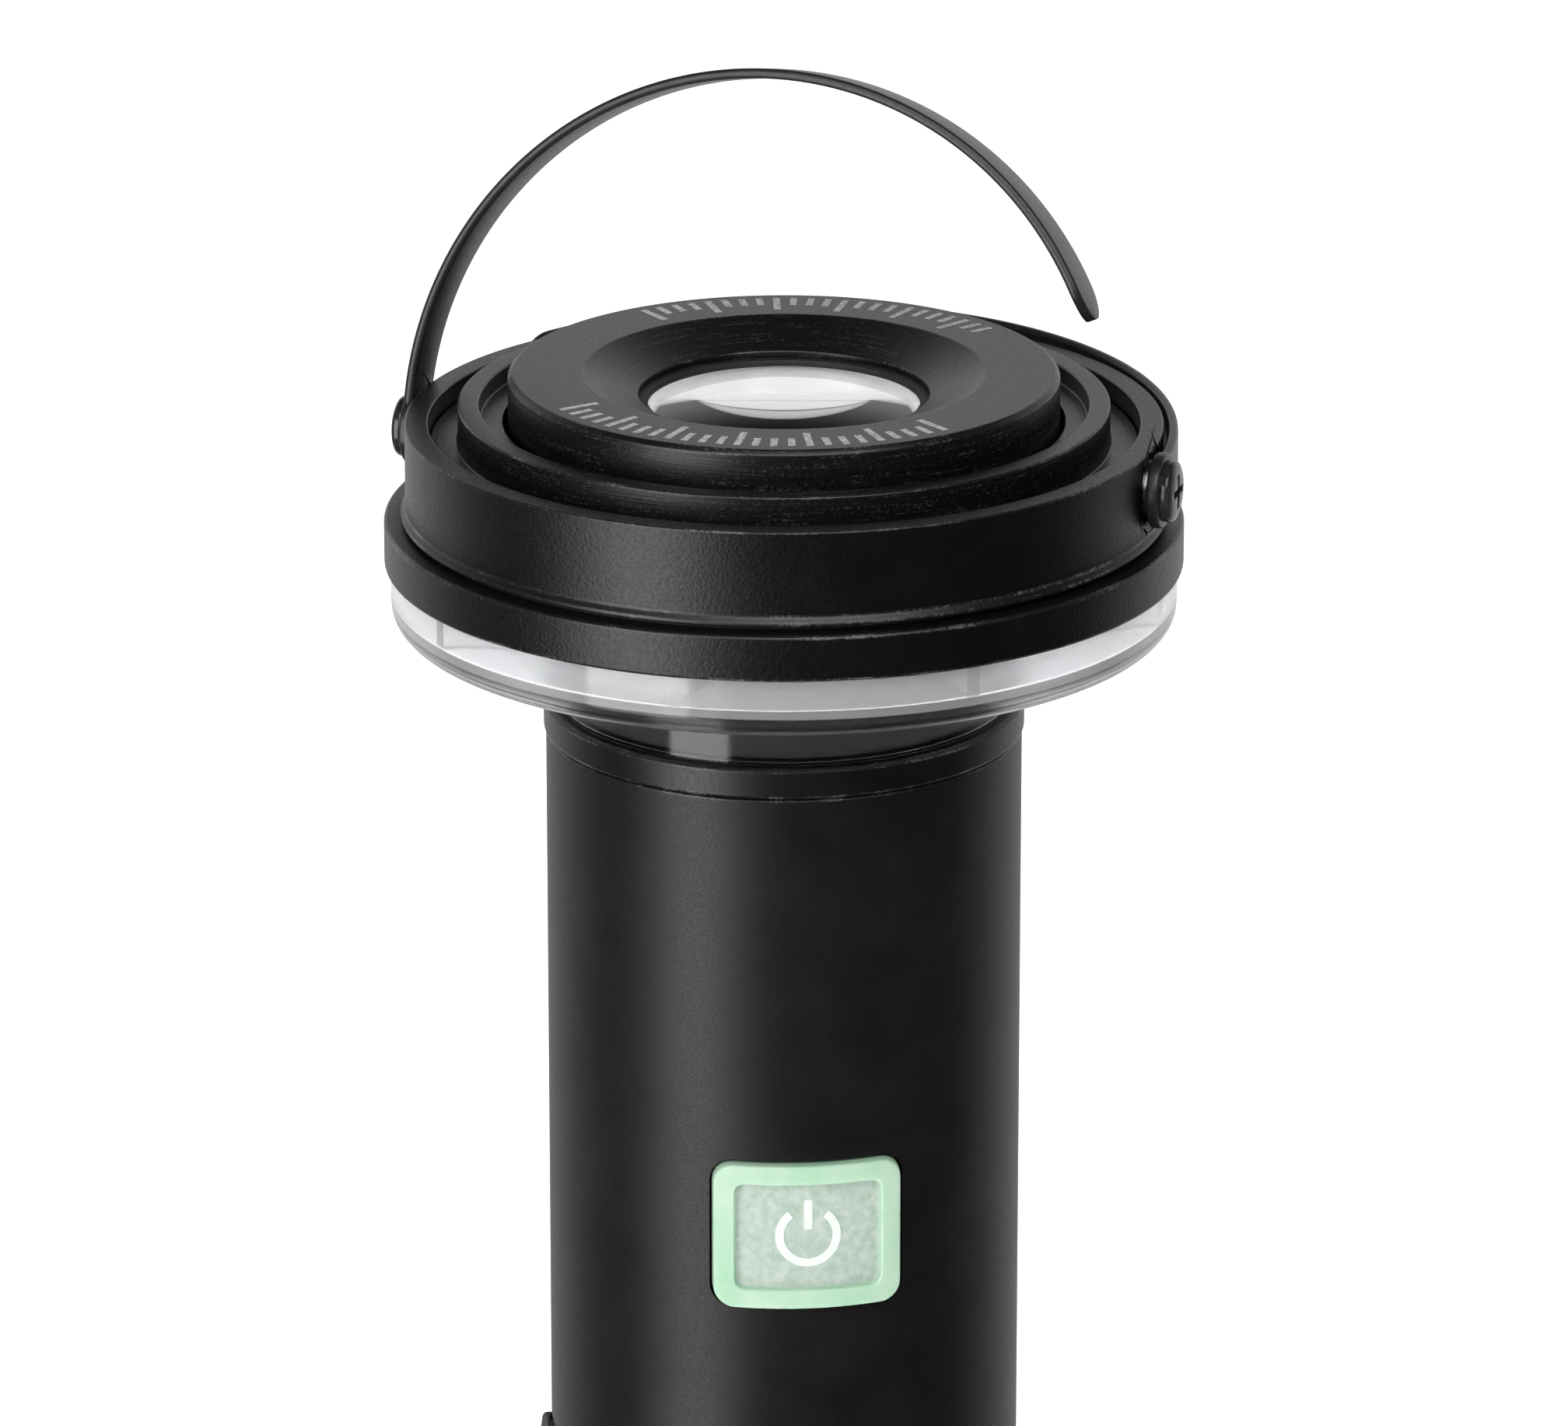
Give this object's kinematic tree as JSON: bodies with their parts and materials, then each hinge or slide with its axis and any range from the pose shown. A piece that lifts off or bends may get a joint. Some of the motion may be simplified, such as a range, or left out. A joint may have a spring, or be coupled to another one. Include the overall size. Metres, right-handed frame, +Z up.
{
  "type": "torch lantern",
  "caption": "Cylindrical rechargeable torch and camp lantern with a wide round head, clear down-light ring, folding hooks, push button and covered charging port.",
  "frame": {"origin": "centre of the base pad's rest face, under the tube axis", "axes": "+Z up along the tube axis, -Y out of the push button, -X out of the charging port"},
  "size_m": [0.0701, 0.07, 0.2154],
  "materials": {
    "black_coated_alloy": "fine-textured black powder coat",
    "machined_black_alloy": "black anodised, machined",
    "hook_steel": "satin black paint on spring steel",
    "screw_black": "black oxide",
    "screw_steel": "zinc plated",
    "clear_plastic": "clear polycarbonate",
    "lens_clear": "polished clear lens",
    "bright_reflector": "metallised",
    "black_rubber": "matte",
    "glow_silicone": "translucent, glow pigment",
    "white_print": "white inlay",
    "black_plastic": "moulded",
    "pale_plastic": "moulded",
    "board_green": "solder mask",
    "board_white": "white solder mask on alloy",
    "led_yellow": "phosphor",
    "led_amber": "phosphor",
    "led_green": "clear body",
    "chip_black": "moulded",
    "part_tan": "ceramic body",
    "pin_brass": "plated",
    "socket_steel": "plated shell",
    "lead_red": "insulation",
    "lead_black": "insulation",
    "cell_sleeve": "sleeved steel can",
    "tab_nickel": "plated strip",
    "foam_grey": "closed-cell foam",
    "magnet_nickel": "nickel plated"
  },
  "bodies": {
    "lantern": {"bezel": "machined_black_alloy", "lens_gasket": "black_rubber", "lens": "lens_clear", "reflector": "bright_reflector", "spot_led_board": "board_white", "spot_led": "led_yellow", "led_screws": "screw_steel", "heat_sink": "machined_black_alloy", "head_housing": "black_coated_alloy", "pivot_screws": "screw_black", "pivot_washers": "screw_steel", "housing_gasket": "black_rubber", "lower_ring": "black_coated_alloy", "downlight_board": "board_white", "white_leds": "led_yellow", "amber_leds": "led_amber", "downlight_screws": "screw_steel", "light_cover": "clear_plastic", "neck_core": "machined_black_alloy", "core_screws": "screw_steel", "neck_collar": "machined_black_alloy", "collar_seal": "black_rubber", "red_leads": "lead_red", "black_leads": "lead_black", "body_tube": "black_coated_alloy", "button_frame": "black_plastic", "switch_board": "board_green", "tact_switch": "black_plastic", "button_leds": "led_green", "header_pins": "pin_brass", "control_board": "board_green", "driver_chips": "chip_black", "inductor": "chip_black", "capacitors": "part_tan", "board_screws": "screw_steel", "charge_socket": "socket_steel", "port_frame": "black_plastic", "port_anchor": "black_rubber", "board_carrier": "pale_plastic", "cell_top_plate": "pale_plastic", "cells": "cell_sleeve", "cell_holders": "black_plastic", "cell_tabs": "tab_nickel", "cell_leads": "lead_red", "cell_board": "board_green", "end_foam": "foam_grey", "tail_cap": "black_coated_alloy", "tail_seal": "black_rubber", "base_magnet": "magnet_nickel", "base_pad": "black_rubber"},
    "hook_left": {"hook_left": "hook_steel"},
    "hook_right": {"hook_right": "hook_steel"},
    "push_button": {"button": "glow_silicone", "button_symbol": "white_print", "switch_plunger": "pale_plastic"},
    "port_flap": {"port_cover": "black_rubber"}
  },
  "joints": [
    {"name": "hook_left_fold", "type": "hinge", "parent": "lantern", "child": "hook_left", "pos_m": [0, 0, 0.182], "axis": [0.9272, -0.3746, 0], "range_deg": [-3, 83.5]},
    {"name": "hook_right_fold", "type": "hinge", "parent": "lantern", "child": "hook_right", "pos_m": [0, 0, 0.182], "axis": [0.9272, -0.3746, 0], "range_deg": [0, 50]},
    {"name": "button_press", "type": "slide", "parent": "lantern", "child": "push_button", "axis": [0, 1, 0], "range_m": [0, 0.0006], "stiffness_N_per_m": 1500},
    {"name": "port_flap_open", "type": "hinge", "parent": "lantern", "child": "port_flap", "pos_m": [-0.02225, 0, 0.07265], "axis": [0, -1, 0], "range_deg": [0, 110]}
  ]
}
